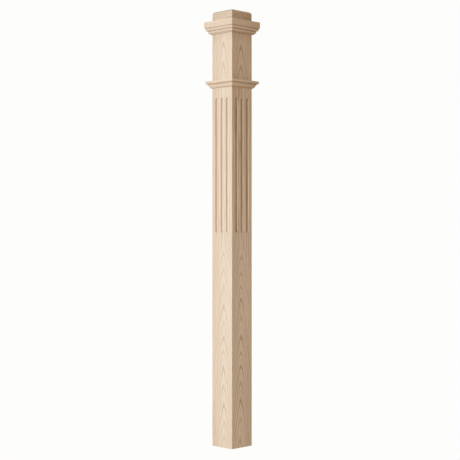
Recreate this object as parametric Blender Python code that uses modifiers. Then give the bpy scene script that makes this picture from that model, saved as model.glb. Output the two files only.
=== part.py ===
"""A box newel post in unfinished oak, standing upright on the floor.

Four mitred boards make a hollow square shaft, with three stopped flutes in each face. Two bands of
mitred moulding run round the shaft, and a plate and a block close its top. Metres, +Z up: the origin
is on the floor in the middle of the shaft, and the front of the post faces -Y.
"""

import math

import bmesh
import bpy
from mathutils import Matrix, Vector

# Shaft
POST_WIDTH = 0.0897
POST_HEIGHT = 1.394
BOARD_THICKNESS = 0.019

# Every glued joint is drawn as a thin gap
JOINT_GAP = 0.0003

# Flutes, each run with a round-nosed cutter
FLUTES_PER_FACE = 3
FLUTE_PITCH = 0.0242
FLUTE_CUTTER_RADIUS = 0.00635
FLUTE_DEPTH = 0.0060
FLUTE_LENGTH = 0.430
FLUTE_DROP = 0.0331

# Cap: a block on a plate that overhangs the moulding under it
CAP_BLOCK_HEIGHT = 0.0325
CAP_BLOCK_ROUNDING = 0.0088
CAP_PLATE_THICKNESS = 0.0202
CAP_PLATE_REVEAL = 0.002

# Cap moulding, heights from the top down: two beads, each with a groove over it
CAP_GROOVE_HEIGHT = 0.0020
UPPER_BEAD_HEIGHT = 0.0066
BEAD_GROOVE_HEIGHT = 0.0026
LOWER_BEAD_HEIGHT = 0.0056
CAP_FOOT_HEIGHT = 0.0023

# Cap moulding, how far each stage stands out beyond the one under it
CAP_FOOT_PROJECTION = 0.0054
LOWER_BEAD_STEP = 0.0015
LOWER_BEAD_PROJECTION = 0.0037
UPPER_BEAD_STEP = 0.0020
UPPER_BEAD_PROJECTION = 0.0040

# Cap moulding, the rise of each bead's curve over its chord
BEAD_BEND = 0.1

# Cap moulding, how far each groove is cut in behind the bead under it
BEAD_GROOVE_DEPTH = 0.0018
CAP_GROOVE_DEPTH = 0.0018

# Plain square between the two mouldings
NECK_LENGTH = 0.1505

# Neck moulding, heights from the top down: a flat band over a groove and an ogee
NECK_BAND_HEIGHT = 0.0084
NECK_GROOVE_HEIGHT = 0.0017
NECK_OGEE_HEIGHT = 0.0110
NECK_FOOT_HEIGHT = 0.0018

# Neck moulding, how far each stage stands out beyond the one under it
NECK_FOOT_PROJECTION = 0.0030
NECK_OGEE_STEP = 0.0020
NECK_OGEE_PROJECTION = 0.0073
NECK_BAND_STEP = 0.0035

# Neck moulding, the share of the ogee that bulges, and the rise of its curves over their chords
NECK_OGEE_BULGE = 0.2
NECK_OGEE_BEND = 0.08

# Neck moulding, how far the groove is cut in behind the top of the ogee
NECK_GROOVE_DEPTH = 0.0022

# How finely curves are cut into flats
CUTTER_FACETS = 32
CUTTER_END_FACETS = 6
MOULDING_ARC_FACETS = 8
BLOCK_ROUNDING_FACETS = 5

# Sizes that follow from the ones above
HALF_WIDTH = POST_WIDTH / 2
CAP_MOULDING_HEIGHT = (
    CAP_GROOVE_HEIGHT + UPPER_BEAD_HEIGHT + BEAD_GROOVE_HEIGHT + LOWER_BEAD_HEIGHT + CAP_FOOT_HEIGHT
)
CAP_MOULDING_PROJECTION = (
    CAP_FOOT_PROJECTION + LOWER_BEAD_STEP + LOWER_BEAD_PROJECTION + UPPER_BEAD_STEP
    + UPPER_BEAD_PROJECTION
)
NECK_MOULDING_HEIGHT = NECK_BAND_HEIGHT + NECK_GROOVE_HEIGHT + NECK_OGEE_HEIGHT + NECK_FOOT_HEIGHT
NECK_MOULDING_PROJECTION = (
    NECK_FOOT_PROJECTION + NECK_OGEE_STEP + NECK_OGEE_PROJECTION + NECK_BAND_STEP
)
CAP_PLATE_WIDTH = POST_WIDTH + 2 * (JOINT_GAP + CAP_MOULDING_PROJECTION + CAP_PLATE_REVEAL)
CAP_BLOCK_BASE = POST_HEIGHT - CAP_BLOCK_HEIGHT
CAP_PLATE_BASE = CAP_BLOCK_BASE - JOINT_GAP - CAP_PLATE_THICKNESS
SHAFT_TOP = CAP_PLATE_BASE - JOINT_GAP
CAP_MOULDING_BASE = SHAFT_TOP - CAP_MOULDING_HEIGHT
NECK_BASE = CAP_MOULDING_BASE - NECK_LENGTH
NECK_MOULDING_BASE = NECK_BASE - NECK_MOULDING_HEIGHT
FLUTE_TOP = NECK_MOULDING_BASE - FLUTE_DROP

# The four sides, each a quarter turn on from the one before
SIDES = ("front", "right", "back", "left")
QUARTER_TURN = math.pi / 2

# Colours of the bare oak, as linear red, green and blue
BOARD_OAK = (0.62, 0.48, 0.34)
MOULDING_OAK = (0.60, 0.46, 0.32)
CAP_OAK = (0.61, 0.47, 0.33)
OAK_ROUGHNESS = 0.62


def clear_scene():
    """Removes whatever the scene holds at the start."""
    for thing in list(bpy.data.objects):
        bpy.data.objects.remove(thing, do_unlink=True)


def new_collection(name):
    """Makes an empty collection and hangs it in the scene."""
    collection = bpy.data.collections.new(name)
    bpy.context.scene.collection.children.link(collection)
    return collection


def oak(name, colour):
    """Makes the bare oak of one piece."""
    material = bpy.data.materials.new(name)
    material.use_nodes = True
    surface = material.node_tree.nodes["Principled BSDF"]
    surface.inputs["Base Color"].default_value = (*colour, 1.0)
    surface.inputs["Roughness"].default_value = OAK_ROUGHNESS
    surface.inputs["Metallic"].default_value = 0.0
    return material


def place(name, bm, collection, turn=0.0):
    """Writes the mesh to a new object, turned about the middle of the post."""
    bmesh.ops.recalc_face_normals(bm, faces=bm.faces[:])
    mesh = bpy.data.meshes.new(name)
    bm.to_mesh(mesh)
    bm.free()
    thing = bpy.data.objects.new(name, mesh)
    thing.rotation_euler.z = turn
    collection.objects.link(thing)
    return thing


def rectangular_block(width, depth, height, base, middle_y=0.0):
    """Makes a block whose underside is at the height called base."""
    bm = bmesh.new()
    middle = Matrix.Translation((0.0, middle_y, base + height / 2))
    bmesh.ops.create_cube(bm, size=1.0, matrix=middle @ Matrix.Diagonal((width, depth, height, 1.0)))
    return bm


def mitre_ends(bm):
    """Cuts both ends of a front piece to the mitres, half a joint gap short of each."""
    for end in (-1.0, 1.0):
        across = Vector((end, 1.0, 0.0)).normalized()
        everything = bm.verts[:] + bm.edges[:] + bm.faces[:]
        cut = bmesh.ops.bisect_plane(
            bm, geom=everything, plane_co=across * (-JOINT_GAP / 2), plane_no=across, clear_outer=True
        )
        rim = [piece for piece in cut["geom_cut"] if isinstance(piece, bmesh.types.BMEdge)]
        bmesh.ops.contextual_create(bm, geom=rim)


def arc(start, end, bend):
    """Gives the points after start along an arc to end, which rises by bend times its chord."""
    start, end = Vector(start), Vector(end)
    chord = end - start
    outward = Vector((chord.y, -chord.x)).normalized()
    radius = chord.length * (0.25 + bend ** 2) / (2 * bend)
    centre = (start + end) / 2 + outward * (bend * chord.length - radius)
    sweep = 2 * math.asin(chord.length / (2 * radius))
    spoke = start - centre
    points = []
    for step in range(1, MOULDING_ARC_FACETS + 1):
        turned = Matrix.Rotation(sweep * step / MOULDING_ARC_FACETS, 2) @ spoke
        points.append(tuple(centre + turned))
    return points


def cap_profile():
    """Gives the cap moulding's outline as points out from the shaft and up from its foot."""
    foot = CAP_FOOT_PROJECTION
    lower_in = foot + LOWER_BEAD_STEP
    lower_out = lower_in + LOWER_BEAD_PROJECTION
    upper_in = lower_out + UPPER_BEAD_STEP
    lower_base = CAP_FOOT_HEIGHT
    lower_top = lower_base + LOWER_BEAD_HEIGHT
    upper_base = lower_top + BEAD_GROOVE_HEIGHT
    upper_top = upper_base + UPPER_BEAD_HEIGHT
    lower_groove = lower_out - BEAD_GROOVE_DEPTH
    upper_groove = CAP_MOULDING_PROJECTION - CAP_GROOVE_DEPTH
    outline = [(0.0, 0.0), (foot, 0.0), (foot, lower_base), (lower_in, lower_base)]
    outline += arc((lower_in, lower_base), (lower_out, lower_top), BEAD_BEND)
    outline += [(lower_groove, lower_top), (lower_groove, upper_base), (upper_in, upper_base)]
    outline += arc((upper_in, upper_base), (CAP_MOULDING_PROJECTION, upper_top), BEAD_BEND)
    outline += [(upper_groove, upper_top), (upper_groove, CAP_MOULDING_HEIGHT), (0.0, CAP_MOULDING_HEIGHT)]
    return outline


def neck_profile():
    """Gives the neck moulding's outline as points out from the shaft and up from its foot."""
    foot = NECK_FOOT_PROJECTION
    ogee_in = foot + NECK_OGEE_STEP
    ogee_out = ogee_in + NECK_OGEE_PROJECTION
    ogee_base = NECK_FOOT_HEIGHT
    ogee_top = ogee_base + NECK_OGEE_HEIGHT
    turning_point = (
        ogee_in + NECK_OGEE_BULGE * NECK_OGEE_PROJECTION,
        ogee_base + NECK_OGEE_BULGE * NECK_OGEE_HEIGHT,
    )
    band_base = ogee_top + NECK_GROOVE_HEIGHT
    groove = ogee_out - NECK_GROOVE_DEPTH
    outline = [(0.0, 0.0), (foot, 0.0), (foot, ogee_base), (ogee_in, ogee_base)]
    outline += arc((ogee_in, ogee_base), turning_point, NECK_OGEE_BEND)
    outline += arc(turning_point, (ogee_out, ogee_top), -NECK_OGEE_BEND)
    outline += [(groove, ogee_top), (groove, band_base), (NECK_MOULDING_PROJECTION, band_base)]
    outline += [(NECK_MOULDING_PROJECTION, NECK_MOULDING_HEIGHT), (0.0, NECK_MOULDING_HEIGHT)]
    return outline


def extruded_outline(outline, length):
    """Makes a straight length of moulding from its outline, with closed ends."""
    curve = bpy.data.curves.new("moulding outline", "CURVE")
    curve.dimensions = "2D"
    curve.fill_mode = "BOTH"
    curve.extrude = length / 2
    line = curve.splines.new("POLY")
    line.points.add(len(outline) - 1)
    for point, (out, up) in zip(line.points, outline):
        point.co = (out, up, 0.0, 1.0)
    line.use_cyclic_u = True
    drawn = bpy.data.objects.new("moulding outline", curve)
    bpy.context.scene.collection.objects.link(drawn)
    graph = bpy.context.evaluated_depsgraph_get()
    mesh = bpy.data.meshes.new_from_object(drawn.evaluated_get(graph))
    bm = bmesh.new()
    bm.from_mesh(mesh)
    bmesh.ops.remove_doubles(bm, verts=bm.verts[:], dist=1e-6)
    bpy.data.objects.remove(drawn, do_unlink=True)
    bpy.data.curves.remove(curve)
    bpy.data.meshes.remove(mesh)
    return bm


def moulding(name, outline, base, projection, side, collection):
    """Makes one mitred length of moulding against the face of one side of the shaft."""
    bm = extruded_outline(outline, POST_WIDTH + 2 * (JOINT_GAP + projection))
    against_face = Matrix((
        (0.0, 0.0, -1.0, 0.0),
        (-1.0, 0.0, 0.0, -HALF_WIDTH - JOINT_GAP),
        (0.0, 1.0, 0.0, base),
        (0.0, 0.0, 0.0, 1.0),
    ))
    bm.transform(against_face)
    mitre_ends(bm)
    piece = place(name, bm, collection, SIDES.index(side) * QUARTER_TURN)
    piece.data.materials.append(oak(name + "_oak", MOULDING_OAK))
    return piece


def flute_cutter(name, across, turn, collection):
    """Makes a round-nosed cutter, as long as one flute, with its axis just outside the face."""
    outline = []
    straight = FLUTE_LENGTH / 2 - FLUTE_CUTTER_RADIUS
    for step in range(CUTTER_END_FACETS + 1):
        angle = QUARTER_TURN * step / CUTTER_END_FACETS
        outline.append((math.sin(angle), straight / FLUTE_CUTTER_RADIUS + math.cos(angle)))
    outline += [(out, -up) for out, up in reversed(outline)]
    bm = bmesh.new()
    points = []
    for out, up in outline:
        points.append(bm.verts.new((out * FLUTE_CUTTER_RADIUS, 0.0, up * FLUTE_CUTTER_RADIUS)))
    for upper, lower in zip(points, points[1:]):
        bm.edges.new((upper, lower))
    mesh = bpy.data.meshes.new(name)
    bm.to_mesh(mesh)
    bm.free()
    cutter = bpy.data.objects.new(name, mesh)
    axis_y = -HALF_WIDTH - FLUTE_CUTTER_RADIUS + FLUTE_DEPTH
    axis = Vector((across, axis_y, FLUTE_TOP - FLUTE_LENGTH / 2))
    cutter.location = Matrix.Rotation(turn, 3, "Z") @ axis
    cutter.rotation_euler.z = turn
    cutter.hide_render = True
    cutter.display_type = "WIRE"
    collection.objects.link(cutter)
    turned = cutter.modifiers.new("turned", "SCREW")
    turned.angle = math.tau
    turned.steps = turned.render_steps = CUTTER_FACETS
    turned.use_merge_vertices = True
    turned.merge_threshold = 0.00001
    turned.use_smooth_shade = True
    return cutter


def shaft_board(side, collection, cutters):
    """Makes one fluted board of the shaft, mitred down both long edges."""
    name = "shaft_board_" + side
    turn = SIDES.index(side) * QUARTER_TURN
    middle_y = -HALF_WIDTH + BOARD_THICKNESS / 2
    bm = rectangular_block(POST_WIDTH, BOARD_THICKNESS, SHAFT_TOP, 0.0, middle_y)
    mitre_ends(bm)
    board = place(name, bm, collection, turn)
    board.data.materials.append(oak(name + "_oak", BOARD_OAK))
    for flute in range(FLUTES_PER_FACE):
        across = (flute - (FLUTES_PER_FACE - 1) / 2) * FLUTE_PITCH
        cutter = flute_cutter(f"flute_{side}_{flute + 1}", across, turn, cutters)
        cut = board.modifiers.new(f"flute {flute + 1}", "BOOLEAN")
        cut.operation = "DIFFERENCE"
        cut.solver = "EXACT"
        cut.object = cutter
    return board


def cap_plate(collection):
    """Makes the square plate that closes the top of the hollow shaft."""
    bm = rectangular_block(CAP_PLATE_WIDTH, CAP_PLATE_WIDTH, CAP_PLATE_THICKNESS, CAP_PLATE_BASE)
    plate = place("cap_plate", bm, collection)
    plate.data.materials.append(oak("cap_plate_oak", CAP_OAK))
    return plate


def cap_block(collection):
    """Makes the block on top, as wide as the shaft, with its four top edges rounded over."""
    bm = rectangular_block(POST_WIDTH, POST_WIDTH, CAP_BLOCK_HEIGHT, CAP_BLOCK_BASE)
    top_edges = [e for e in bm.edges if all(v.co.z > POST_HEIGHT - JOINT_GAP for v in e.verts)]
    bmesh.ops.bevel(
        bm, geom=top_edges, offset=CAP_BLOCK_ROUNDING, segments=BLOCK_ROUNDING_FACETS,
        profile=0.5, affect="EDGES"
    )
    block = place("cap_block", bm, collection)
    block.data.materials.append(oak("cap_block_oak", CAP_OAK))
    return block


def main():
    clear_scene()
    post = new_collection("box newel post")
    cutters = new_collection("flute cutters")
    for side in SIDES:
        shaft_board(side, post, cutters)
        name = "neck_moulding_" + side
        moulding(name, neck_profile(), NECK_MOULDING_BASE, NECK_MOULDING_PROJECTION, side, post)
        name = "cap_moulding_" + side
        moulding(name, cap_profile(), CAP_MOULDING_BASE, CAP_MOULDING_PROJECTION, side, post)
    cap_plate(post)
    cap_block(post)


main()
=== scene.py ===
"""Dresses the box newel post: finely shaped boards, mouldings and cap in bare oak, and a pale studio."""

import math

import bpy
from bpy.props import FloatProperty, FloatVectorProperty, IntProperty, PointerProperty
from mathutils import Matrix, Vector


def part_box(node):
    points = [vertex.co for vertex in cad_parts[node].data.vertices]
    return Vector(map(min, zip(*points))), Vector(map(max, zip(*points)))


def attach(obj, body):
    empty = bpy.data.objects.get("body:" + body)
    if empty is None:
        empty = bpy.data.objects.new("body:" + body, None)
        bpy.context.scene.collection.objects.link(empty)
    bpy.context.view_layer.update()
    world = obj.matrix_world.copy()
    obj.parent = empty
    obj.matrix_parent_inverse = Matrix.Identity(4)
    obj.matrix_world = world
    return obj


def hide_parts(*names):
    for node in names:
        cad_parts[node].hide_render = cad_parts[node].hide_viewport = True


bl_info = {
    "name": "Box newel post",
    "version": (1, 0, 0),
    "blender": (4, 5, 0),
    "location": "View3D > Sidebar > Newel post",
    "description": "Builds the looks of a fluted oak box newel post over its fixed frame",
    "category": "Object",
}

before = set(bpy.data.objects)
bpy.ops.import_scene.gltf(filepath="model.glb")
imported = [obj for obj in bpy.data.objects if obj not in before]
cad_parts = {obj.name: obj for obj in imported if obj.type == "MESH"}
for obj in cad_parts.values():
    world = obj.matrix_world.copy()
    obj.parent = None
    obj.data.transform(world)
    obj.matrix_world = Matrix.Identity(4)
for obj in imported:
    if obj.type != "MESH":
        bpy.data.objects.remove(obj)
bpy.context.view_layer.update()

SIDES = ("front", "right", "back", "left")
QUARTER_TURN = math.pi / 2
CORNER_REACH = math.sqrt(2)
PALE_ROOM = (0.982, 0.982, 0.965, 1.0)
ROOM_LIGHT = (1.0, 0.84, 0.675, 1.0)
KEY_COLOUR = (0.70, 0.84, 1.0)
FRONT_COLOUR = (0.84, 0.90, 1.0)
LAMP_DISTANCE = 4.0
FLOOR_RADIUS = 40.0
SENSOR_WIDTH = 36.0
MERGE_DISTANCE = 0.000002
SMOOTH_ANGLE = math.radians(32.0)
SHARP_ANGLE = math.radians(40.0)

# Degrees that each lamp stands to the right of the front face, and up from level
KEY_DIRECTION = (-13.0, 4.0)
FRONT_DIRECTION = (16.0, 4.0)

# About how often each pattern of the wood repeats in a metre across, into and along the grain
SWAY_SCALE = (0.0, 0.0, 5.0)
WANDER_SCALE = (0.0, 0.0, 3.2)
WAVER_SCALE = (70.0, 70.0, 9.0)
UNEVEN_SCALE = (22.0, 22.0, 3.0)
FIBRE_SCALE = (420.0, 420.0, 7.0)
STREAK_SCALE = (180.0, 180.0, 8.0)
MOTTLE_SCALE = (20.0, 20.0, 3.0)
PORE_SCALE = (1500.0, 1500.0, 42.0)
RAY_SCALE = (2100.0, 320.0, 110.0)


def node_box(name):
    """Gives a node's lowest and highest corners as two vectors."""
    low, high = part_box(name)
    return Vector(low), Vector(high)


BOARD_LOW, BOARD_HIGH = node_box("shaft_board_front")
NECK_LOW, NECK_HIGH = node_box("neck_moulding_front")
CAP_LOW, CAP_HIGH = node_box("cap_moulding_front")
PLATE_LOW, PLATE_HIGH = node_box("cap_plate")
BLOCK_LOW, BLOCK_HIGH = node_box("cap_block")
FACE_Y = BOARD_LOW.y

# Where the wood is darkened, as shares fitted to the dark places seen on the post: mostly painted shade,
# besides the cap's darker end grain
# On the boards: painted shade on one wall of each flute, under the cap moulding, towards the top of the side
# boards and along each board's left side; the front and back boards are also darker towards the foot
ALL_BOARD_SHADE = {"Left Side": 0.34, "Cap Line": CAP_LOW.z, "Under Cap": 0.30}
FRONT_BOARD_SHADE = {"Wall Middle": -0.0060, "Wall Half Width": 0.0008, "Wall": 0.90, "Foot": 0.20}
SIDE_BOARD_SHADE = {"Wall Middle": 0.0024, "Wall Half Width": 0.0024, "Wall": 0.85, "Head": 0.38}
# On the mouldings: painted shade along three lines at the grooves and the foot, and a darkening all over,
# which on the side lengths is painted shade
FRONT_NECK_SHADE = {"Whole": 0.14, "Lines": 0.50}
SIDE_NECK_SHADE = {"Whole": 0.45, "Lines": 0.40}
FRONT_CAP_SHADE = {"Whole": 0.02, "Lines": 0.45}
SIDE_CAP_SHADE = {"Whole": 0.30, "Lines": 0.70}
# On the plate and block: the wood's darker end grain, painted shade along the block's lower joint with the
# plate, and a darkening all over
PLATE_SHADE_AND_END_GRAIN = {"Whole": 0.12, "Half Length": PLATE_HIGH.x, "End Grain": 0.50}
BLOCK_SHADE_AND_END_GRAIN = {
    "Whole": 0.28, "Half Length": BLOCK_HIGH.x, "End Grain": 0.72, "Joint Height": 0.0060, "Joint": 0.7}
# How far the darkening reaches and how softly it fades
HEAD_FROM, HEAD_TO = 0.60, 1.20
FOOT_REACH = 0.20
UNDER_CAP_REACH = 0.04
LEFT_REACH = 1.3  # in half widths of the board
WALL_FADE = 0.0009
LINE_FADE = 0.0006
FOOT_LINE_DROP = 0.0006
TOP_LINE_DROP = 0.0010
LINE_LABELS = ("First Line", "Second Line", "Third Line")
FIGURE_LEAD = 0.04  # how far below the flutes the rings stop leaning


# Sizes and colours that a user would change

class ShaftSizes(bpy.types.PropertyGroup):
    """Sizes of the four boards and of the flutes in them."""

    half_width: FloatProperty(
        name="Half width", description="From the middle of the shaft to a face",
        default=-FACE_Y, unit="LENGTH")
    thickness: FloatProperty(
        name="Board thickness", description="Thickness of each board",
        default=BOARD_HIGH.y - BOARD_LOW.y, unit="LENGTH")
    arris: FloatProperty(
        name="Eased arris", description="How far the sharp edges are sanded back",
        default=0.0006, unit="LENGTH")
    mitre_line: FloatProperty(
        name="Glue line", description="Width of the line left at each mitre",
        default=0.00008, unit="LENGTH")
    flute_pitch: FloatProperty(
        name="Flute pitch", description="From the middle of one flute to the next",
        default=0.0242, unit="LENGTH")
    flute_radius: FloatProperty(
        name="Flute cutter radius", description="Radius of the round-nosed cutter",
        default=0.00635, unit="LENGTH")
    flute_depth: FloatProperty(
        name="Flute depth", description="Depth of a flute at its middle",
        default=0.0060, unit="LENGTH")
    flute_length: FloatProperty(
        name="Flute length", description="From end to end of a flute",
        default=0.430, unit="LENGTH")
    flute_drop: FloatProperty(
        name="Flute drop", description="From the neck moulding down to the flutes",
        default=0.0331, unit="LENGTH")
    flute_count: IntProperty(
        name="Flutes", description="Flutes in each face", default=3, min=1, max=5)


class MouldingSizes(bpy.types.PropertyGroup):
    """Sizes of the two mouldings' outlines."""

    cap_foot_height: FloatProperty(
        name="Cap foot height", description="Flat strip at the foot of the cap moulding",
        default=0.0023, unit="LENGTH")
    lower_bead_height: FloatProperty(
        name="Lower bead height", description="Height of the lower bead",
        default=0.0056, unit="LENGTH")
    bead_groove_height: FloatProperty(
        name="Bead groove height", description="Height of the groove between the two beads",
        default=0.0026, unit="LENGTH")
    upper_bead_height: FloatProperty(
        name="Upper bead height", description="Height of the upper bead",
        default=0.0066, unit="LENGTH")
    cap_foot_projection: FloatProperty(
        name="Cap foot projection", description="How far the foot stands out from the shaft",
        default=0.0054, unit="LENGTH")
    lower_bead_step: FloatProperty(
        name="Lower bead step", description="Step from the foot out to the lower bead",
        default=0.0015, unit="LENGTH")
    lower_bead_projection: FloatProperty(
        name="Lower bead projection", description="How far the lower bead comes out over its height",
        default=0.0037, unit="LENGTH")
    upper_bead_step: FloatProperty(
        name="Upper bead step", description="Step from the lower bead out to the upper one",
        default=0.0020, unit="LENGTH")
    bead_bend: FloatProperty(
        name="Bead bend", description="Rise of each bead's curve, as a share of its chord",
        default=0.1, min=0.01, max=0.3)
    bead_groove_depth: FloatProperty(
        name="Bead groove depth", description="How far the groove is cut in behind the lower bead",
        default=0.0018, unit="LENGTH")
    cap_groove_depth: FloatProperty(
        name="Cap groove depth", description="How far the top groove is cut in behind the upper bead",
        default=0.0018, unit="LENGTH")
    neck_foot_height: FloatProperty(
        name="Neck foot height", description="Flat strip at the foot of the neck moulding",
        default=0.0018, unit="LENGTH")
    neck_ogee_height: FloatProperty(
        name="Neck ogee height", description="Height of the ogee",
        default=0.0110, unit="LENGTH")
    neck_groove_height: FloatProperty(
        name="Neck groove height", description="Height of the groove between ogee and band",
        default=0.0017, unit="LENGTH")
    neck_foot_projection: FloatProperty(
        name="Neck foot projection", description="How far the foot stands out from the shaft",
        default=0.0030, unit="LENGTH")
    neck_ogee_step: FloatProperty(
        name="Neck ogee step", description="Step from the foot out to the ogee",
        default=0.0020, unit="LENGTH")
    neck_ogee_projection: FloatProperty(
        name="Neck ogee projection", description="How far the ogee comes out over its height",
        default=0.0073, unit="LENGTH")
    neck_ogee_bulge: FloatProperty(
        name="Neck ogee bulge", description="Share of the ogee that bulges, from its foot up",
        default=0.2, min=0.05, max=0.95)
    neck_ogee_bend: FloatProperty(
        name="Neck ogee bend", description="Rise of each of the ogee's curves, as a share of its chord",
        default=0.08, min=0.01, max=0.3)
    neck_groove_depth: FloatProperty(
        name="Neck groove depth", description="How far the groove is cut in behind the ogee's top",
        default=0.0022, unit="LENGTH")
    edge_easing: FloatProperty(
        name="Edge easing", description="How far the long edges are sanded back",
        default=0.0003, unit="LENGTH")


class CapSizes(bpy.types.PropertyGroup):
    """Sizes of the block and the plate."""

    rounding: FloatProperty(
        name="Top rounding", description="Radius of the block's four top edges",
        default=0.0088, unit="LENGTH")
    corner_easing: FloatProperty(
        name="Corner easing", description="How far the block's four upright corners are sanded back",
        default=0.0014, unit="LENGTH")
    arris: FloatProperty(
        name="Eased arris", description="How far the plate's edges are sanded back",
        default=0.0008, unit="LENGTH")


class OakLooks(bpy.types.PropertyGroup):
    """Colours and figure of the bare oak."""

    pale: FloatVectorProperty(
        name="Late wood", description="Colour of the dense pale wood",
        subtype="COLOR", default=(0.750, 0.622, 0.484))
    tan: FloatVectorProperty(
        name="Early wood", description="Colour of the open bands of each ring",
        subtype="COLOR", default=(0.51, 0.37, 0.24))
    pore: FloatVectorProperty(
        name="Pores", description="Colour down in the pores",
        subtype="COLOR", default=(0.33, 0.215, 0.125))
    shade_and_end_grain: FloatVectorProperty(
        name="Browner places",
        description="What the wood's colour is multiplied by in painted shade and on the cap's end grain, fitted to the post's dark places",
        subtype="COLOR", default=(0.80, 0.72, 0.64))
    ring_width: FloatProperty(
        name="Ring width", description="Usual distance from one growth ring to the next",
        default=0.0048, unit="LENGTH")
    lean: FloatProperty(
        name="Lean", description="How far the rings lean from the board's length",
        default=0.09)
    pith_depth: FloatProperty(
        name="Pith depth", description="From the board's face to the middle of the tree",
        default=0.050, unit="LENGTH")


class StudioSettings(bpy.types.PropertyGroup):
    """Camera, lights and floor."""

    distance: FloatProperty(
        name="Camera distance", description="From the camera to the middle of the post",
        default=3.70, unit="LENGTH")
    eye_height: FloatProperty(
        name="Eye height", description="Height of the camera above the floor",
        default=0.6936, unit="LENGTH")
    azimuth: FloatProperty(
        name="Azimuth", description="Turn of the camera from the front face towards the right one",
        default=math.radians(45.0), subtype="ANGLE")
    lens: FloatProperty(
        name="Lens", description="Focal length in millimetres", default=90.0)
    shift: FloatProperty(
        name="Shift", description="Sideways shift of the picture, as a share of its width",
        default=-0.0045)
    key_power: FloatProperty(
        name="Key light", description="Strength of the main light, from the left", default=1.15)
    front_power: FloatProperty(
        name="Front light", description="Strength of the light that skims the right face", default=1.54)
    softness: FloatProperty(
        name="Softness", description="How wide the lights look from the post",
        default=math.radians(8.0), subtype="ANGLE")
    room_light: FloatProperty(
        name="Room light", description="Strength of the light from the walls and the ceiling", default=0.46)
    floor_light: FloatProperty(
        name="Floor light", description="Strength of the light that the floor throws back", default=0.56)


# Helpers for modelling

def select_none():
    """Leaves nothing selected, in object mode."""
    if bpy.context.object and bpy.context.object.mode != "OBJECT":
        bpy.ops.object.mode_set(mode="OBJECT")
    bpy.ops.object.select_all(action="DESELECT")


def name_piece(name):
    """Names the new object and its mesh and settles its place into the mesh."""
    piece = bpy.context.object
    piece.name = name
    piece.data.name = name
    bpy.ops.object.transform_apply(location=True, rotation=True, scale=True)
    return piece


def box_piece(name, low, high):
    """Makes a plain box between two corners."""
    select_none()
    bpy.ops.mesh.primitive_cube_add(size=1.0, location=(low + high) / 2, scale=high - low)
    return name_piece(name)


def pick(piece, test, domain="EDGE"):
    """Selects the edges or faces that pass the test, in edit mode, and says how many there are."""
    bpy.ops.object.mode_set(mode="EDIT")
    bpy.ops.mesh.select_mode(type=domain)
    bpy.ops.mesh.select_all(action="DESELECT")
    bpy.ops.object.mode_set(mode="OBJECT")
    mesh = piece.data
    count = 0
    for part in (mesh.edges if domain == "EDGE" else mesh.polygons):
        corners = [mesh.vertices[i].co for i in part.vertices]
        part.select = test(corners)
        count += part.select
    bpy.ops.object.mode_set(mode="EDIT")
    return count


def bevel_picked(width, segments):
    """Rounds the picked edges over."""
    bpy.ops.mesh.bevel(offset_type="OFFSET", offset=width, segments=segments, profile=0.5, affect="EDGES")
    bpy.ops.object.mode_set(mode="OBJECT")


def cut_away(point, normal):
    """Cuts the piece by a plane, closes the cut and drops what lies beyond it."""
    bpy.ops.object.mode_set(mode="EDIT")
    bpy.ops.mesh.select_all(action="SELECT")
    bpy.ops.mesh.bisect(plane_co=point, plane_no=normal, use_fill=True, clear_outer=True)
    bpy.ops.object.mode_set(mode="OBJECT")


def cut_mitres(half_line):
    """Cuts both ends of a front piece to the 45 degree planes through the post's corners."""
    for end in (-1.0, 1.0):
        across = Vector((end, 1.0, 0.0)).normalized()
        cut_away(across * -half_line, across)


def close_up(piece):
    """Merges doubles and turns every face outwards."""
    bpy.ops.object.mode_set(mode="EDIT")
    bpy.ops.mesh.select_all(action="SELECT")
    bpy.ops.mesh.remove_doubles(threshold=MERGE_DISTANCE)
    bpy.ops.mesh.normals_make_consistent(inside=False)
    bpy.ops.object.mode_set(mode="OBJECT")
    bpy.ops.object.shade_smooth_by_angle(angle=SMOOTH_ANGLE)
    return piece


def repeat_round(front, kind):
    """Copies the front piece to the other three sides and gives all four, in order."""
    pieces = [front]
    for turns, side in enumerate(SIDES[1:], start=1):
        select_none()
        front.select_set(True)
        bpy.context.view_layer.objects.active = front
        bpy.ops.object.duplicate(linked=False)
        bpy.context.object.rotation_euler.z = turns * QUARTER_TURN
        pieces.append(name_piece(f"{kind}_{side}_wood"))
    return pieces


def hand_over(piece, node, material):
    """Lets the piece stand for its node and gives it its wood."""
    piece.data.materials.clear()
    piece.data.materials.append(material)
    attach(piece, "root")
    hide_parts(node)


# Helpers for materials

def new_group(name, inputs, outputs):
    """Starts a shader node group and gives its tree, its input node and its output node."""
    tree = bpy.data.node_groups.new(name, "ShaderNodeTree")
    for label, kind, value in inputs:
        socket = tree.interface.new_socket(name=label, in_out="INPUT", socket_type=kind)
        if value is not None:
            socket.default_value = value
    for label, kind in outputs:
        tree.interface.new_socket(name=label, in_out="OUTPUT", socket_type=kind)
    return tree, tree.nodes.new("NodeGroupInput"), tree.nodes.new("NodeGroupOutput")


def feed(tree, socket, value):
    """Links a socket to an input, or sets the input to a plain value."""
    if isinstance(value, bpy.types.NodeSocket):
        tree.links.new(value, socket)
    else:
        socket.default_value = value


def sums(tree, operation, *values):
    """Adds a maths node and gives its result."""
    node = tree.nodes.new("ShaderNodeMath")
    node.operation = operation
    for socket, value in zip(node.inputs, values):
        feed(tree, socket, value)
    return node.outputs[0]


def split_axes(tree, vector):
    """Gives a vector's X, Y and Z."""
    node = tree.nodes.new("ShaderNodeSeparateXYZ")
    feed(tree, node.inputs[0], vector)
    return node.outputs[0], node.outputs[1], node.outputs[2]


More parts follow.
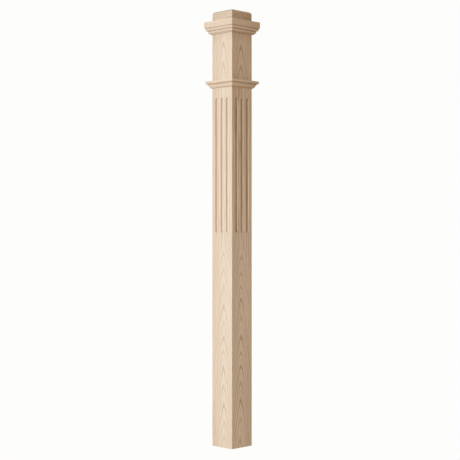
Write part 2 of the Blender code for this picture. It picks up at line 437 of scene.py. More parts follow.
def remap(tree, value, low, high, to_low=0.0, to_high=1.0):
    """Eases a value from one range to another and holds it there."""
    node = tree.nodes.new("ShaderNodeMapRange")
    node.interpolation_type = "SMOOTHSTEP"
    for socket, given in zip(node.inputs, (value, low, high, to_low, to_high)):
        feed(tree, socket, given)
    return node.outputs[0]


def stretched(tree, vector, scale, place=(0.0, 0.0, 0.0)):
    """Scales a pattern's coordinates, by a different amount along each axis."""
    node = tree.nodes.new("ShaderNodeMapping")
    feed(tree, node.inputs["Vector"], vector)
    node.inputs["Location"].default_value = place
    node.inputs["Scale"].default_value = scale
    return node.outputs[0]


def noise(tree, vector, scale=1.0, detail=2.0, roughness=0.5):
    """Adds a noise pattern and gives its value."""
    node = tree.nodes.new("ShaderNodeTexNoise")
    feed(tree, node.inputs["Vector"], vector)
    node.inputs["Scale"].default_value = scale
    node.inputs["Detail"].default_value = detail
    node.inputs["Roughness"].default_value = roughness
    return node.outputs["Fac"]


def mix_colour(tree, share, first, second, blend="MIX"):
    """Mixes two colours by a share."""
    node = tree.nodes.new("ShaderNodeMix")
    node.data_type = "RGBA"
    node.blend_type = blend
    feed(tree, node.inputs["Factor"], share)
    feed(tree, node.inputs["A"], first)
    feed(tree, node.inputs["B"], second)
    return node.outputs["Result"]


def see_and_light(tree, lights, seen, socket):
    """Lets one shader light the post and another be what the camera sees."""
    path = tree.nodes.new("ShaderNodeLightPath")
    either = tree.nodes.new("ShaderNodeMixShader")
    tree.links.new(path.outputs["Is Camera Ray"], either.inputs["Fac"])
    tree.links.new(lights.outputs[0], either.inputs[1])
    tree.links.new(seen.outputs[0], either.inputs[2])
    tree.links.new(either.outputs[0], socket)


def shared_group(tree, name, make_group, place):
    """Adds the shared group of that name, which is made when first asked for, at the piece's place."""
    node = tree.nodes.new("ShaderNodeGroup")
    node.node_tree = bpy.data.node_groups.get(name) or make_group()
    feed(tree, node.inputs["Vector"], place)
    return node


def rings_group():
    """Growth rings seen as a board's figure. Grain runs along Z, and the face looks along -Y."""
    tree, given, out = new_group(
        "Growth rings",
        (
            ("Vector", "NodeSocketVector", None),
            ("Pith Depth", "NodeSocketFloat", 0.03),
            ("Pith Side", "NodeSocketFloat", 0.0),
            ("Ring Width", "NodeSocketFloat", 0.003),
            ("Lean", "NodeSocketFloat", 0.06),
            ("Peak", "NodeSocketFloat", 0.12),
            ("Straight From", "NodeSocketFloat", 10.0),
            ("Straight To", "NodeSocketFloat", 10.0),
            ("Seed", "NodeSocketFloat", 0.0),
        ),
        (("Early Wood", "NodeSocketFloat"), ("Ring Tone", "NodeSocketFloat")),
    )
    seeded = tree.nodes.new("ShaderNodeVectorMath")
    seeded.operation = "ADD"
    offset = tree.nodes.new("ShaderNodeCombineXYZ")
    feed(tree, offset.inputs["X"], given.outputs["Seed"])
    feed(tree, offset.inputs["Z"], given.outputs["Seed"])
    feed(tree, seeded.inputs[0], given.outputs["Vector"])
    feed(tree, seeded.inputs[1], offset.outputs[0])
    across, inward, along = split_axes(tree, given.outputs["Vector"])

    below = sums(tree, "MINIMUM", along, given.outputs["Straight From"])
    above = sums(tree, "MAXIMUM", sums(tree, "SUBTRACT", along, given.outputs["Straight To"]), 0.0)
    leaning = sums(tree, "MULTIPLY", sums(tree, "ADD", below, above), given.outputs["Lean"])

    slow_sway = noise(tree, stretched(tree, seeded.outputs[0], SWAY_SCALE), detail=1.0)
    slow_wander = noise(tree, stretched(tree, seeded.outputs[0], WANDER_SCALE, (3.7, 0.0, 9.1)), detail=1.0)
    sway = sums(tree, "MULTIPLY_ADD", slow_sway, 0.006, -0.003)
    wander = sums(tree, "MULTIPLY_ADD", slow_wander, 0.020, -0.010)

    depth = sums(tree, "SUBTRACT", given.outputs["Pith Depth"], inward)
    side = sums(tree, "SUBTRACT", sums(tree, "SUBTRACT", across, given.outputs["Pith Side"]), wander)
    squares = sums(tree, "ADD", sums(tree, "MULTIPLY", side, side), sums(tree, "MULTIPLY", depth, depth))
    radius = sums(tree, "SQRT", squares)
    peaked = sums(tree, "MULTIPLY", sums(tree, "ABSOLUTE", side), given.outputs["Peak"])
    radius = sums(tree, "ADD", sums(tree, "ADD", radius, peaked), sums(tree, "ADD", leaning, sway))

    waver = noise(tree, stretched(tree, seeded.outputs[0], WAVER_SCALE), detail=2.0)
    uneven = noise(tree, stretched(tree, seeded.outputs[0], UNEVEN_SCALE, (5.0, 2.0, 1.0)), detail=1.0)
    count = sums(tree, "DIVIDE", radius, given.outputs["Ring Width"])
    count = sums(tree, "ADD", count, sums(tree, "MULTIPLY_ADD", waver, 0.50, -0.25))
    count = sums(tree, "ADD", count, sums(tree, "MULTIPLY_ADD", uneven, 1.0, -0.5))
    share = sums(tree, "FRACT", count)
    rising = remap(tree, share, 0.82, 0.97)
    falling = remap(tree, share, 0.0, 0.32, 1.0, 0.0)
    early = sums(tree, "MAXIMUM", rising, falling)
    from_middle = sums(tree, "ABSOLUTE", sums(tree, "SUBTRACT", share, 0.55))
    faint = remap(tree, from_middle, 0.0, 0.09, 0.42, 0.0)
    early = sums(tree, "MAXIMUM", early, faint)

    tone = tree.nodes.new("ShaderNodeTexWhiteNoise")
    tone.noise_dimensions = "1D"
    feed(tree, tone.inputs["W"], sums(tree, "FLOOR", sums(tree, "ADD", count, 0.1)))
    feed(tree, out.inputs["Early Wood"], early)
    feed(tree, out.inputs["Ring Tone"], tone.outputs["Value"])
    return tree


def surface_group():
    """Turns rings into bare sanded oak: tone, fibres, pores and ray flecks, with painted shade and the cap's
    darker end grain multiplied in.
    """
    tree, given, out = new_group(
        "Oak surface",
        (
            ("Vector", "NodeSocketVector", None),
            ("Early Wood", "NodeSocketFloat", 0.0),
            ("Ring Tone", "NodeSocketFloat", 0.5),
            ("Figure", "NodeSocketFloat", 1.0),
            ("Pale", "NodeSocketColor", (0.7, 0.56, 0.41, 1.0)),
            ("Tan", "NodeSocketColor", (0.6, 0.44, 0.29, 1.0)),
            ("Pore", "NodeSocketColor", (0.33, 0.21, 0.12, 1.0)),
            ("Browner", "NodeSocketColor", (0.80, 0.72, 0.64, 1.0)),
            ("Browner Share", "NodeSocketFloat", 0.0),
        ),
        (("Color", "NodeSocketColor"), ("Roughness", "NodeSocketFloat"), ("Height", "NodeSocketFloat")),
    )
    vector = given.outputs["Vector"]
    ring_strength = remap(tree, given.outputs["Ring Tone"], 0.0, 1.0, 0.55, 1.0)
    strength = sums(tree, "MULTIPLY", ring_strength, given.outputs["Figure"])
    band = sums(tree, "MULTIPLY", given.outputs["Early Wood"], strength)

    fibre = noise(tree, stretched(tree, vector, FIBRE_SCALE), detail=3.0, roughness=0.6)
    streak = noise(tree, stretched(tree, vector, STREAK_SCALE, (0.0, 4.0, 2.0)), detail=2.0, roughness=0.7)
    streak = sums(tree, "MULTIPLY", sums(tree, "SUBTRACT", streak, 0.5), given.outputs["Figure"])
    mottle = noise(tree, stretched(tree, vector, MOTTLE_SCALE, (7.0, 1.0, 0.0)), detail=2.0)
    pore_field = noise(tree, stretched(tree, vector, PORE_SCALE), detail=1.0)
    in_band = sums(tree, "MULTIPLY_ADD", band, -0.13, 0.76)
    pores = remap(tree, pore_field, in_band, sums(tree, "ADD", in_band, 0.06))
    ray_field = noise(tree, stretched(tree, vector, RAY_SCALE, (1.0, 3.0, 5.0)), detail=1.0)
    rays = remap(tree, ray_field, 0.66, 0.74)

    wood = mix_colour(tree, band, given.outputs["Pale"], given.outputs["Tan"])
    tone = sums(tree, "MULTIPLY_ADD", fibre, 0.10, 0.95)
    tone = sums(tree, "MULTIPLY", tone, sums(tree, "MULTIPLY_ADD", streak, 0.52, 1.0))
    tone = sums(tree, "MULTIPLY", tone, sums(tree, "MULTIPLY_ADD", mottle, 0.12, 0.94))
    toned = tree.nodes.new("ShaderNodeVectorMath")
    toned.operation = "SCALE"
    feed(tree, toned.inputs[0], wood)
    feed(tree, toned.inputs["Scale"], tone)
    wood = mix_colour(tree, sums(tree, "MULTIPLY", rays, 0.16), toned.outputs[0], given.outputs["Tan"])
    wood = mix_colour(tree, sums(tree, "MULTIPLY", pores, 0.75), wood, given.outputs["Pore"])
    # Painted shade, and the cap's darker end grain, multiplied into the wood
    wood = mix_colour(tree, given.outputs["Browner Share"], wood, given.outputs["Browner"], "MULTIPLY")

    rough = sums(tree, "MULTIPLY_ADD", band, 0.10, 0.56)
    rough = sums(tree, "ADD", rough, sums(tree, "MULTIPLY", fibre, 0.10))
    height = sums(tree, "ADD", sums(tree, "MULTIPLY", fibre, 0.25), sums(tree, "MULTIPLY", band, -0.20))
    height = sums(tree, "SUBTRACT", height, pores)
    feed(tree, out.inputs["Color"], wood)
    feed(tree, out.inputs["Roughness"], rough)
    feed(tree, out.inputs["Height"], height)
    return tree


def board_shade_group():
    """Where a board is darkened: painted shade on one wall of each flute, under the cap, towards its top and
    along its left side, and darker towards its foot.
    """
    tree, given, out = new_group(
        "Board painted shade",
        (
            ("Vector", "NodeSocketVector", None),
            ("Pitch", "NodeSocketFloat", 0.024),
            ("Wall Middle", "NodeSocketFloat", -0.005),
            ("Wall Half Width", "NodeSocketFloat", 0.0016),
            ("Wall", "NodeSocketFloat", 0.6),
            ("Head", "NodeSocketFloat", 0.0),
            ("Cap Line", "NodeSocketFloat", 1.32),
            ("Under Cap", "NodeSocketFloat", 0.0),
            ("Foot", "NodeSocketFloat", 0.0),
            ("Half Width", "NodeSocketFloat", 0.045),
            ("Left Side", "NodeSocketFloat", 0.0),
        ),
        (("Mask", "NodeSocketFloat"),),
    )
    across, inward, along = split_axes(tree, given.outputs["Vector"])
    pitch = given.outputs["Pitch"]
    # Painted shade on one wall of each flute, down inside it
    flutes = sums(tree, "FRACT", sums(tree, "ADD", sums(tree, "DIVIDE", across, pitch), 10.5))
    off_centre = sums(tree, "MULTIPLY", sums(tree, "SUBTRACT", flutes, 0.5), pitch)
    from_wall = sums(tree, "ABSOLUTE", sums(tree, "SUBTRACT", off_centre, given.outputs["Wall Middle"]))
    half = given.outputs["Wall Half Width"]
    on_wall = remap(tree, from_wall, half, sums(tree, "ADD", half, WALL_FADE), 1.0, 0.0)
    wall = sums(tree, "MULTIPLY", on_wall, remap(tree, inward, 0.0002, 0.0008))
    wall = sums(tree, "MULTIPLY", wall, given.outputs["Wall"])
    # Painted shade towards the top, under the cap and along the left side, and a darkening towards the foot
    head = sums(tree, "MULTIPLY", remap(tree, along, HEAD_FROM, HEAD_TO), given.outputs["Head"])
    below_cap = sums(tree, "SUBTRACT", given.outputs["Cap Line"], along)
    near_cap = remap(tree, below_cap, 0.0, UNDER_CAP_REACH, 1.0, 0.0)
    under_cap = sums(tree, "MULTIPLY", near_cap, given.outputs["Under Cap"])
    foot = sums(tree, "MULTIPLY", remap(tree, along, 0.0, FOOT_REACH, 1.0, 0.0), given.outputs["Foot"])
    half_width = given.outputs["Half Width"]
    from_left = sums(tree, "DIVIDE", sums(tree, "ADD", across, half_width), half_width)
    near_left = remap(tree, from_left, 0.0, LEFT_REACH, 1.0, 0.0)
    side = sums(tree, "MULTIPLY", near_left, given.outputs["Left Side"])
    mask = wall
    for more in (head, under_cap, foot, side):
        mask = sums(tree, "ADD", mask, more)
    feed(tree, out.inputs["Mask"], mask)
    return tree


def cap_shade_and_end_grain_group():
    """Where a cap piece, its grain laid along Z, is darkened: on its darker end grain, with painted shade
    along its lower joint, and all over by a share.
    """
    tree, given, out = new_group(
        "Cap shade and end grain",
        (
            ("Vector", "NodeSocketVector", None),
            ("Whole", "NodeSocketFloat", 0.0),
            ("Half Length", "NodeSocketFloat", 0.045),
            ("End Grain", "NodeSocketFloat", 0.5),
            ("Joint Height", "NodeSocketFloat", 0.006),
            ("Joint", "NodeSocketFloat", 0.0),
        ),
        (("Mask", "NodeSocketFloat"),),
    )
    down, _, along = split_axes(tree, given.outputs["Vector"])
    height = sums(tree, "MULTIPLY", down, -1.0)
    inside = sums(tree, "SUBTRACT", given.outputs["Half Length"], sums(tree, "ABSOLUTE", along))
    ends = sums(tree, "MULTIPLY", remap(tree, inside, 0.0002, 0.0012, 1.0, 0.0), given.outputs["End Grain"])
    # Painted shade along the lower joint
    low = sums(tree, "MULTIPLY", given.outputs["Joint Height"], 0.6)
    near_joint = remap(tree, height, low, given.outputs["Joint Height"], 1.0, 0.0)
    joint = sums(tree, "MULTIPLY", near_joint, given.outputs["Joint"])
    feed(tree, out.inputs["Mask"], sums(tree, "ADD", sums(tree, "ADD", ends, joint), given.outputs["Whole"]))
    return tree


def moulding_shade_group():
    """Where a moulding, its grain laid along Z, is darkened: all over, and with painted shade along three
    lines.
    """
    tree, given, out = new_group(
        "Moulding painted shade",
        (
            ("Vector", "NodeSocketVector", None),
            ("Whole", "NodeSocketFloat", 0.0),
            ("Lines", "NodeSocketFloat", 0.5),
            ("Half Line", "NodeSocketFloat", 0.0016),
            ("First Line", "NodeSocketFloat", 0.003),
            ("Second Line", "NodeSocketFloat", 0.009),
            ("Third Line", "NodeSocketFloat", 0.018),
        ),
        (("Mask", "NodeSocketFloat"),),
    )
    down, _, _ = split_axes(tree, given.outputs["Vector"])
    height = sums(tree, "MULTIPLY", down, -1.0)
    # Painted shade along the three lines
    edge = sums(tree, "ADD", given.outputs["Half Line"], LINE_FADE)
    lines = None
    for label in LINE_LABELS:
        distance = sums(tree, "ABSOLUTE", sums(tree, "SUBTRACT", height, given.outputs[label]))
        line = remap(tree, distance, given.outputs["Half Line"], edge, 1.0, 0.0)
        lines = sums(tree, "MAXIMUM", lines, line) if lines else line
    lines = sums(tree, "MULTIPLY", lines, given.outputs["Lines"])
    feed(tree, out.inputs["Mask"], sums(tree, "ADD", lines, given.outputs["Whole"]))
    return tree


def piece_coordinates(tree, turn, centre, lay_along_x):
    """Gives the piece's own coordinates, as if it were the front one, with its grain along Z."""
    coordinates = tree.nodes.new("ShaderNodeTexCoord")
    turned = tree.nodes.new("ShaderNodeMapping")
    turned.inputs["Rotation"].default_value = (0.0, 0.0, -turn)
    turned.inputs["Location"].default_value = centre
    feed(tree, turned.inputs["Vector"], coordinates.outputs["Object"])
    if not lay_along_x:
        return turned.outputs[0]
    laid = tree.nodes.new("ShaderNodeMapping")
    laid.inputs["Rotation"].default_value = (0.0, -QUARTER_TURN, 0.0)
    feed(tree, laid.inputs["Vector"], turned.outputs[0])
    return laid.outputs[0]


def oak(name, turn=0.0, centre=(0.0, 0.0, 0.0), lay_along_x=False, seed=0.0, figure=1.0, darkening=None, **rings):
    """Makes the bare oak of one piece from the shared rings, surface and darkening: painted shade, and on the
    cap its darker end grain.
    """
    looks = bpy.context.scene.newel_oak
    material = bpy.data.materials.new(name)
    material.use_nodes = True
    tree = material.node_tree
    shader = tree.nodes["Principled BSDF"]
    place = piece_coordinates(tree, turn, centre, lay_along_x)

    growth = shared_group(tree, "Growth rings", rings_group, place)
    growth.inputs["Ring Width"].default_value = looks.ring_width
    growth.inputs["Lean"].default_value = looks.lean
    growth.inputs["Pith Depth"].default_value = looks.pith_depth
    growth.inputs["Seed"].default_value = seed
    for label, value in rings.items():
        growth.inputs[label.replace("_", " ").title()].default_value = value

    surface = shared_group(tree, "Oak surface", surface_group, place)
    feed(tree, surface.inputs["Early Wood"], growth.outputs["Early Wood"])
    feed(tree, surface.inputs["Ring Tone"], growth.outputs["Ring Tone"])
    surface.inputs["Figure"].default_value = figure
    colours = {"Pale": looks.pale, "Tan": looks.tan, "Pore": looks.pore, "Browner": looks.shade_and_end_grain}
    for label, colour in colours.items():
        surface.inputs[label].default_value = (*colour, 1.0)
    # Painted shade, and on the cap pieces their darker end grain, from the piece's darkening group
    if darkening:
        name, make_group, values = darkening
        shade_and_end_grain = shared_group(tree, name, make_group, place)
        for label, value in values.items():
            shade_and_end_grain.inputs[label].default_value = value
        feed(tree, surface.inputs["Browner Share"], shade_and_end_grain.outputs["Mask"])

    bump = tree.nodes.new("ShaderNodeBump")
    bump.inputs["Strength"].default_value = 0.35
    bump.inputs["Distance"].default_value = 0.0002
    feed(tree, bump.inputs["Height"], surface.outputs["Height"])
    feed(tree, shader.inputs["Base Color"], surface.outputs["Color"])
    feed(tree, shader.inputs["Roughness"], surface.outputs["Roughness"])
    feed(tree, shader.inputs["Normal"], bump.outputs["Normal"])
    shader.inputs["Specular IOR Level"].default_value = 0.25
    return material


# The pieces

def flute_cutters(sizes, top):
    """Makes one object of round-nosed cutters, one for each flute of the front face."""
    reach = 2 * sizes.flute_radius
    made = []
    for flute in range(sizes.flute_count):
        across = (flute - (sizes.flute_count - 1) / 2) * sizes.flute_pitch
        axis_y = -sizes.half_width - sizes.flute_radius + sizes.flute_depth
        foot = top - sizes.flute_length + sizes.flute_radius
        select_none()
        bpy.ops.mesh.primitive_uv_sphere_add(
            segments=96, ring_count=24, radius=sizes.flute_radius, location=(across, axis_y, foot))
        cutter = name_piece(f"flute cutter {flute + 1}")
        pick(cutter, lambda corners: sum(c.z for c in corners) / len(corners) > foot, "FACE")
        bpy.ops.mesh.extrude_region_move(
            TRANSFORM_OT_translate={"value": (0.0, 0.0, sizes.flute_length - reach)})
        bpy.ops.object.mode_set(mode="OBJECT")
        made.append(cutter)
    select_none()
    for cutter in made:
        cutter.select_set(True)
    bpy.context.view_layer.objects.active = made[0]
    bpy.ops.object.join()
    return made[0]


def front_board(sizes, top, flute_top):
    """Makes the front board: a slice of the eased square shaft, mitred and fluted."""
    select_none()
    width = 2 * sizes.half_width
    bpy.ops.mesh.primitive_cube_add(size=1.0, location=(0.0, 0.0, top / 2), scale=(width, width, top))
    board = name_piece("shaft_board_front_wood")
    upright = pick(board, lambda ends: abs(ends[0].z - ends[1].z) > top / 2)
    if upright != 4:
        raise RuntimeError("the shaft's four arrises weren't found")
    bevel_picked(sizes.arris, 4)
    cut_mitres(sizes.mitre_line / 2)
    cut_away((0.0, -sizes.half_width + sizes.thickness, 0.0), (0.0, 1.0, 0.0))
    cutters = flute_cutters(sizes, flute_top)
    select_none()
    board.select_set(True)
    bpy.context.view_layer.objects.active = board
    cut = board.modifiers.new("flutes", "BOOLEAN")
    cut.operation = "DIFFERENCE"
    cut.solver = "EXACT"
    cut.object = cutters
    bpy.ops.object.modifier_apply(modifier=cut.name)
    bpy.data.objects.remove(cutters, do_unlink=True)
    return close_up(board)


def arc(start, end, bend, facets=12):
    """Gives the points after start along an arc to end, which rises by bend times its chord."""
    start, end = Vector(start), Vector(end)
    chord = end - start
    outward = Vector((chord.y, -chord.x)).normalized()
    radius = chord.length * (0.25 + bend ** 2) / (2 * bend)
    centre = (start + end) / 2 + outward * (bend * chord.length - radius)
    sweep = 2 * math.asin(chord.length / (2 * radius))
    spoke = start - centre
    points = []
    for step in range(1, facets + 1):
        angle = sweep * step / facets
        turned = Vector((
            spoke.x * math.cos(angle) - spoke.y * math.sin(angle),
            spoke.x * math.sin(angle) + spoke.y * math.cos(angle),
        ))
        points.append(tuple(centre + turned))
    return points


def cap_outline(sizes, height, projection):
    """Gives the cap moulding's outline as points out from the shaft and up from its foot."""
    foot, base = sizes.cap_foot_projection, sizes.cap_foot_height
    lower_in = foot + sizes.lower_bead_step
    lower_out = lower_in + sizes.lower_bead_projection
    upper_in = lower_out + sizes.upper_bead_step
    lower_top = base + sizes.lower_bead_height
    upper_base = lower_top + sizes.bead_groove_height
    upper_top = upper_base + sizes.upper_bead_height
    lower_groove = lower_out - sizes.bead_groove_depth
    upper_groove = projection - sizes.cap_groove_depth
    outline = [(0.0, 0.0), (foot, 0.0), (foot, base), (lower_in, base)]
    outline += arc((lower_in, base), (lower_out, lower_top), sizes.bead_bend)
    outline += [(lower_groove, lower_top), (lower_groove, upper_base), (upper_in, upper_base)]
    outline += arc((upper_in, upper_base), (projection, upper_top), sizes.bead_bend)
    return outline + [(upper_groove, upper_top), (upper_groove, height), (0.0, height)]


def neck_outline(sizes, height, projection):
    """Gives the neck moulding's outline as points out from the shaft and up from its foot."""
    foot, base = sizes.neck_foot_projection, sizes.neck_foot_height
    ogee_in = foot + sizes.neck_ogee_step
    ogee_out = ogee_in + sizes.neck_ogee_projection
    ogee_top = base + sizes.neck_ogee_height
    turning_point = (
        ogee_in + sizes.neck_ogee_bulge * sizes.neck_ogee_projection,
        base + sizes.neck_ogee_bulge * sizes.neck_ogee_height)
    band_base = ogee_top + sizes.neck_groove_height
    groove = ogee_out - sizes.neck_groove_depth
    outline = [(0.0, 0.0), (foot, 0.0), (foot, base), (ogee_in, base)]
    outline += arc((ogee_in, base), turning_point, sizes.neck_ogee_bend)
    outline += arc(turning_point, (ogee_out, ogee_top), -sizes.neck_ogee_bend)
    outline += [(groove, ogee_top), (groove, band_base), (projection, band_base)]
    return outline + [(projection, height), (0.0, height)]


def moulding_front(name, outline, inner, base, sizes, half_line):
    """Pulls a square of edges up the outline, stage by stage, and cuts out the front length."""
    select_none()
    out, up = outline[0]
    bpy.ops.mesh.primitive_circle_add(
        vertices=4, radius=(inner + out) * CORNER_REACH, location=(0.0, 0.0, base + up),
        rotation=(0.0, 0.0, QUARTER_TURN / 2))
    piece = name_piece(name)
    bpy.ops.object.mode_set(mode="EDIT")
    bpy.ops.mesh.select_mode(type="EDGE")
    bpy.ops.mesh.select_all(action="SELECT")
    for next_out, next_up in outline[1:] + outline[:1]:
        bpy.ops.mesh.extrude_region_move(TRANSFORM_OT_translate={"value": (0.0, 0.0, next_up - up)})
        widen = (inner + next_out) / (inner + out)
        bpy.ops.transform.resize(value=(widen, widen, 1.0), center_override=(0.0, 0.0, base + next_up))
        out, up = next_out, next_up
    bpy.ops.mesh.select_all(action="SELECT")
    bpy.ops.mesh.remove_doubles(threshold=MERGE_DISTANCE)
    bpy.ops.mesh.normals_make_consistent(inside=False)
    bpy.ops.mesh.select_all(action="DESELECT")
    bpy.ops.mesh.edges_select_sharp(sharpness=SHARP_ANGLE)
    bevel_picked(sizes.edge_easing, 2)
    cut_mitres(half_line)
    return close_up(piece)


def moulding_pieces(kind, outline, low, high, seed, lines, front_shade, side_shade):
    """Makes the four lengths of one moulding, and paints shade on each one's wood at the heights in lines."""
    scene = bpy.context.scene
    half_line = scene.newel_shaft.mitre_line / 2
    front = moulding_front(kind + "_front_wood", outline, -high.y, low.z, scene.newel_mouldings, half_line)
    for turns, piece in enumerate(repeat_round(front, kind)):
        odd = turns % 2
        darkening = {**(side_shade if odd else front_shade), **dict(zip(LINE_LABELS, lines))}
        wood = oak(
            f"{piece.name} oak", turn=turns * QUARTER_TURN, centre=(0.0, 0.06, -low.z), lay_along_x=True,
            seed=seed + turns * 3.1, figure=0.7 if odd else 0.35,
            darkening=("Moulding painted shade", moulding_shade_group, darkening),
            ring_width=0.0045, pith_depth=0.05, pith_side=0.06, lean=0.01)
        hand_over(piece, f"{kind}_{SIDES[turns]}", wood)


class NEWEL_OT_shaft_boards(bpy.types.Operator):
    """Make the four mitred boards of the shaft, with their flutes"""

    bl_idname = "newel.shaft_boards"
    bl_label = "Shaft boards"
    bl_options = {"REGISTER", "UNDO"}

    def execute(self, context):
        sizes = context.scene.newel_shaft
        flute_top = NECK_LOW.z - sizes.flute_drop
        flute_foot = flute_top - sizes.flute_length
        front = front_board(sizes, BOARD_HIGH.z, flute_top)
        for turns, piece in enumerate(repeat_round(front, "shaft_board")):
            side = SIDES[turns]
            wood = oak(
                f"{side} board oak", turn=turns * QUARTER_TURN, centre=(0.0, sizes.half_width, 0.0),
                seed=turns * 7.3, figure=1.0 if turns % 2 else 0.68,
                pith_side=-0.006 if turns % 2 else 0.008,
                straight_from=flute_foot - FIGURE_LEAD, straight_to=NECK_LOW.z,
                darkening=("Board painted shade", board_shade_group, self.darkening(turns % 2, sizes)))
            hand_over(piece, "shaft_board_" + side, wood)
        return {"FINISHED"}

    def darkening(self, odd, sizes):
        """Gives the darkened places of a board, all painted shade but for the darker foot. The two boards on
        the sides are the more shaded ones.
        """
        own = SIDE_BOARD_SHADE if odd else FRONT_BOARD_SHADE
        return {"Pitch": sizes.flute_pitch, "Half Width": sizes.half_width, **ALL_BOARD_SHADE, **own}


class NEWEL_OT_neck_moulding(bpy.types.Operator):
    """Make the four mitred lengths of moulding below the plain square"""

    bl_idname = "newel.neck_moulding"
    bl_label = "Neck moulding"
    bl_options = {"REGISTER", "UNDO"}

    def execute(self, context):
        sizes = context.scene.newel_mouldings
        height = NECK_HIGH.z - NECK_LOW.z
        projection = NECK_HIGH.y - NECK_LOW.y
        outline = neck_outline(sizes, height, projection)
        # Heights of the painted shade lines: the foot and the groove
        groove = sizes.neck_foot_height + sizes.neck_ogee_height + sizes.neck_groove_height / 2
        lines = (sizes.neck_foot_height, groove, groove)
        moulding_pieces(
            "neck_moulding", outline, NECK_LOW, NECK_HIGH, 20.0, lines,
            front_shade=FRONT_NECK_SHADE, side_shade=SIDE_NECK_SHADE)
        return {"FINISHED"}


class NEWEL_OT_cap_moulding(bpy.types.Operator):
    """Make the four mitred lengths of moulding under the cap plate"""

    bl_idname = "newel.cap_moulding"
    bl_label = "Cap moulding"
    bl_options = {"REGISTER", "UNDO"}

    def execute(self, context):
        sizes = context.scene.newel_mouldings
        height = CAP_HIGH.z - CAP_LOW.z
        projection = CAP_HIGH.y - CAP_LOW.y
        outline = cap_outline(sizes, height, projection)
        # Heights of the painted shade lines: the foot and the two grooves
        lower_groove = sizes.cap_foot_height + sizes.lower_bead_height + sizes.bead_groove_height / 2
        lines = (sizes.cap_foot_height - FOOT_LINE_DROP, lower_groove, height - TOP_LINE_DROP)
        moulding_pieces(
            "cap_moulding", outline, CAP_LOW, CAP_HIGH, 40.0, lines,
            front_shade=FRONT_CAP_SHADE, side_shade=SIDE_CAP_SHADE)
        return {"FINISHED"}


class NEWEL_OT_cap_plate(bpy.types.Operator):
    """Make the plate that closes the shaft, with its edges eased"""

    bl_idname = "newel.cap_plate"
    bl_label = "Cap plate"
    bl_options = {"REGISTER", "UNDO"}

    def execute(self, context):
        plate = box_piece("cap_plate_wood", PLATE_LOW, PLATE_HIGH)
        pick(plate, lambda ends: True)
        bevel_picked(context.scene.newel_cap.arris, 3)
        wood = oak(
            "cap plate oak", centre=(0.0, 0.0, -PLATE_LOW.z), lay_along_x=True, seed=61.0,
            darkening=("Cap shade and end grain", cap_shade_and_end_grain_group, PLATE_SHADE_AND_END_GRAIN), figure=0.6,
            ring_width=0.0045, pith_depth=0.02, pith_side=0.09, lean=0.02)
        hand_over(close_up(plate), "cap_plate", wood)
        return {"FINISHED"}


class NEWEL_OT_cap_block(bpy.types.Operator):
    """Make the block on top, with its four top edges rounded over"""

    bl_idname = "newel.cap_block"
    bl_label = "Cap block"
    bl_options = {"REGISTER", "UNDO"}

    def execute(self, context):
        sizes = context.scene.newel_cap
        block = box_piece("cap_block_wood", BLOCK_LOW, BLOCK_HIGH)
        middle = (BLOCK_LOW.z + BLOCK_HIGH.z) / 2
        top_edges = pick(block, lambda ends: all(end.z > middle for end in ends))
        if top_edges != 4:
            raise RuntimeError("the block's four top edges weren't found")
        bevel_picked(sizes.rounding, 12)
        pick(block, lambda ends: all(
            abs(abs(end.x) - abs(end.y)) < 1e-6 for end in ends) and abs(ends[0].z - ends[1].z) > 1e-4)
        bevel_picked(sizes.corner_easing, 4)
        wood = oak(
            "cap block oak", centre=(0.0, 0.0, -BLOCK_LOW.z), lay_along_x=True, seed=83.0,
            darkening=("Cap shade and end grain", cap_shade_and_end_grain_group, BLOCK_SHADE_AND_END_GRAIN), figure=1.5,
            ring_width=0.0060, pith_depth=0.01, pith_side=0.08, lean=0.015)
        hand_over(close_up(block), "cap_block", wood)
        return {"FINISHED"}


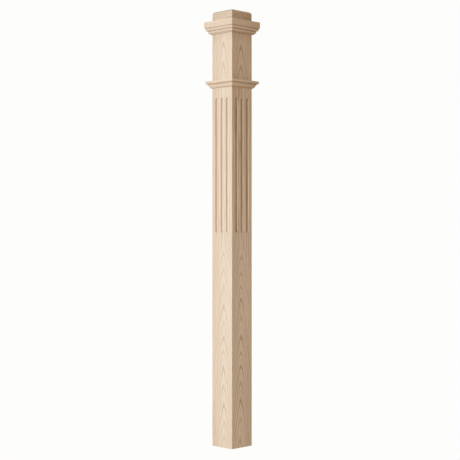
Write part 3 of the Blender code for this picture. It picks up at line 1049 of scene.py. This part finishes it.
class NEWEL_OT_studio(bpy.types.Operator):
    """Set up the pale floor, the soft lights and the camera"""

    bl_idname = "newel.studio"
    bl_label = "Studio"
    bl_options = {"REGISTER", "UNDO"}

    def execute(self, context):
        settings = context.scene.newel_studio
        self.floor(settings)
        self.room(context, settings)
        self.lamp("key light", KEY_DIRECTION, settings.softness, settings.key_power, KEY_COLOUR)
        self.lamp("front light", FRONT_DIRECTION, settings.softness, settings.front_power, FRONT_COLOUR)
        self.camera(context, settings)
        return {"FINISHED"}

    def floor(self, settings):
        """Lays the pale floor, whose glow is painted light: it lights the post evenly in place of the lamps'
        light thrown back, and looks plain pale to the camera.
        """
        select_none()
        bpy.ops.mesh.primitive_circle_add(vertices=96, radius=FLOOR_RADIUS, fill_type="NGON")
        floor = name_piece("studio_floor")
        material = bpy.data.materials.new("pale floor")
        material.use_nodes = True
        tree = material.node_tree
        tree.nodes.remove(tree.nodes["Principled BSDF"])
        # The floor's own glow, which lights the post in place of light thrown back
        glow = tree.nodes.new("ShaderNodeEmission")
        glow.inputs["Color"].default_value = ROOM_LIGHT
        glow.inputs["Strength"].default_value = settings.floor_light
        pale = tree.nodes.new("ShaderNodeEmission")
        pale.inputs["Color"].default_value = PALE_ROOM
        see_and_light(tree, glow, pale, tree.nodes["Material Output"].inputs["Surface"])
        floor.data.materials.append(material)

    def room(self, context, settings):
        """Lights the room evenly, and shows it pale behind the post."""
        world = bpy.data.worlds.new("studio room")
        world.use_nodes = True
        tree = world.node_tree
        seen = tree.nodes["Background"]
        seen.inputs["Color"].default_value = PALE_ROOM
        lights = tree.nodes.new("ShaderNodeBackground")
        lights.inputs["Color"].default_value = ROOM_LIGHT
        lights.inputs["Strength"].default_value = settings.room_light
        see_and_light(tree, lights, seen, tree.nodes["World Output"].inputs["Surface"])
        context.scene.world = world
        context.scene.view_settings.view_transform = "Standard"

    def lamp(self, name, direction, softness, power, colour):
        """Hangs a far soft light, which reaches the foot of the post as strongly as its top."""
        turn, rise = (math.radians(angle) for angle in direction)
        back = Vector((math.sin(turn) * math.cos(rise), -math.cos(turn) * math.cos(rise), math.sin(rise)))
        data = bpy.data.lights.new(name, "SUN")
        data.angle = softness
        data.energy = power
        data.color = colour
        light = bpy.data.objects.new(name, data)
        bpy.context.scene.collection.objects.link(light)
        light.location = Vector((0.0, 0.0, BLOCK_HIGH.z / 2)) + back * LAMP_DISTANCE
        light.rotation_euler = back.to_track_quat("Z", "Y").to_euler()

    def camera(self, context, settings):
        """Sets the camera level with the middle of the post, looking at a corner."""
        data = bpy.data.cameras.new("camera")
        data.lens = settings.lens
        data.sensor_width = SENSOR_WIDTH
        data.shift_x = settings.shift
        camera = bpy.data.objects.new("camera", data)
        context.scene.collection.objects.link(camera)
        back = Vector((math.sin(settings.azimuth), -math.cos(settings.azimuth), 0.0))
        camera.location = back * settings.distance + Vector((0.0, 0.0, settings.eye_height))
        camera.rotation_euler = (QUARTER_TURN, 0.0, settings.azimuth)
        context.scene.camera = camera


class NEWEL_PT_panel(bpy.types.Panel):
    """Lists the steps that build the post"""

    bl_idname = "NEWEL_PT_panel"
    bl_label = "Box newel post"
    bl_space_type = "VIEW_3D"
    bl_region_type = "UI"
    bl_category = "Newel post"

    def draw(self, context):
        for settings in ("newel_shaft", "newel_mouldings", "newel_cap", "newel_oak", "newel_studio"):
            group = getattr(context.scene, settings)
            box = self.layout.box()
            for label in group.bl_rna.properties.keys():
                if label not in ("rna_type", "name"):
                    box.prop(group, label)
        for step in STEPS:
            self.layout.operator(step.bl_idname)


SETTINGS = (
    ("newel_shaft", ShaftSizes),
    ("newel_mouldings", MouldingSizes),
    ("newel_cap", CapSizes),
    ("newel_oak", OakLooks),
    ("newel_studio", StudioSettings),
)
STEPS = (
    NEWEL_OT_shaft_boards,
    NEWEL_OT_neck_moulding,
    NEWEL_OT_cap_moulding,
    NEWEL_OT_cap_plate,
    NEWEL_OT_cap_block,
    NEWEL_OT_studio,
)


def register():
    for label, group in SETTINGS:
        bpy.utils.register_class(group)
        setattr(bpy.types.Scene, label, PointerProperty(type=group))
    for step in STEPS:
        bpy.utils.register_class(step)
    bpy.utils.register_class(NEWEL_PT_panel)


def unregister():
    bpy.utils.unregister_class(NEWEL_PT_panel)
    for step in reversed(STEPS):
        bpy.utils.unregister_class(step)
    for label, group in reversed(SETTINGS):
        delattr(bpy.types.Scene, label)
        bpy.utils.unregister_class(group)


def main():
    register()
    bpy.ops.newel.shaft_boards()
    bpy.ops.newel.neck_moulding()
    bpy.ops.newel.cap_moulding()
    bpy.ops.newel.cap_plate()
    bpy.ops.newel.cap_block()
    bpy.ops.newel.studio()


if __name__ == "__main__":
    main()
